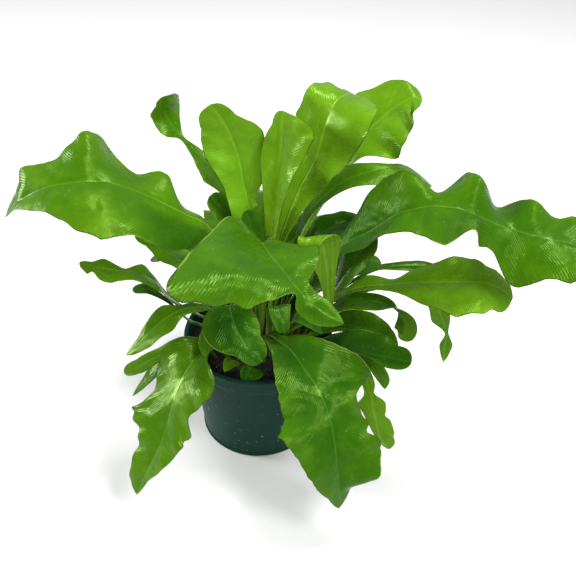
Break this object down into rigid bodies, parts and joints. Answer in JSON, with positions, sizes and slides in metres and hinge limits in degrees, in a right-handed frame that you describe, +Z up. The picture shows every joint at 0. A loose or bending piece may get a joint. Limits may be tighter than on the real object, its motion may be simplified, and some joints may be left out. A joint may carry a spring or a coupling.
{
  "type": "potted birds nest fern",
  "caption": "Birds nest fern with broad, waved, glossy strap fronds in a small round dark green nursery pot.",
  "frame": {"origin": "middle of the pot's flat base", "axes": "+Z up, +X along the longest reach of the fronds, -Y towards the viewer of the picture"},
  "size_m": [0.3781, 0.2566, 0.2755],
  "materials": {
    "pot": "satin",
    "potting_mix": "rough",
    "frond_bright": "glossy",
    "frond_plain": "glossy",
    "frond_dark": "glossy"
  },
  "bodies": {
    "root": {"pot": "pot", "potting_mix": "potting_mix", "frond_left_long": "frond_bright", "frond_back_left": "frond_plain", "frond_upright_left": "frond_bright", "frond_upright_mid": "frond_bright", "frond_top_large": "frond_bright", "frond_top_right": "frond_bright", "frond_arch_right": "frond_plain", "frond_front_centre": "frond_bright", "frond_right_long": "frond_plain", "frond_right_mid": "frond_bright", "frond_front_right": "frond_plain", "frond_front_left": "frond_bright", "frond_right_behind": "frond_plain", "frond_right_twist": "frond_plain", "frond_right_hanging": "frond_plain", "frond_low_right_back": "frond_plain", "frond_low_right_dark": "frond_dark", "frond_centre_dark": "frond_dark", "frond_left_mid": "frond_plain", "frond_left_wavy": "frond_plain", "frond_left_under": "frond_plain", "frond_curled": "frond_plain", "frond_blue_green": "frond_plain", "frond_back_right_dark": "frond_dark", "frond_right_small": "frond_plain", "frond_left_small_dark": "frond_dark", "frond_centre_small_dark": "frond_dark", "frond_left_round": "frond_plain", "frond_low_left_out": "frond_plain", "frond_low_left_tip": "frond_plain", "frond_low_right_hanging": "frond_plain", "frond_low_right_tip": "frond_plain", "frond_rim_left": "frond_plain", "frond_inner_dark": "frond_dark", "frond_front_small": "frond_plain", "frond_rim_front_left": "frond_plain", "frond_rim_front_mid": "frond_plain", "frond_back_centre": "frond_plain", "frond_back_mid_left": "frond_plain", "frond_back_mid_right": "frond_plain", "frond_back_low_left": "frond_plain", "frond_back_low_centre": "frond_plain", "frond_back_low_right": "frond_plain"}
  },
  "joints": []
}
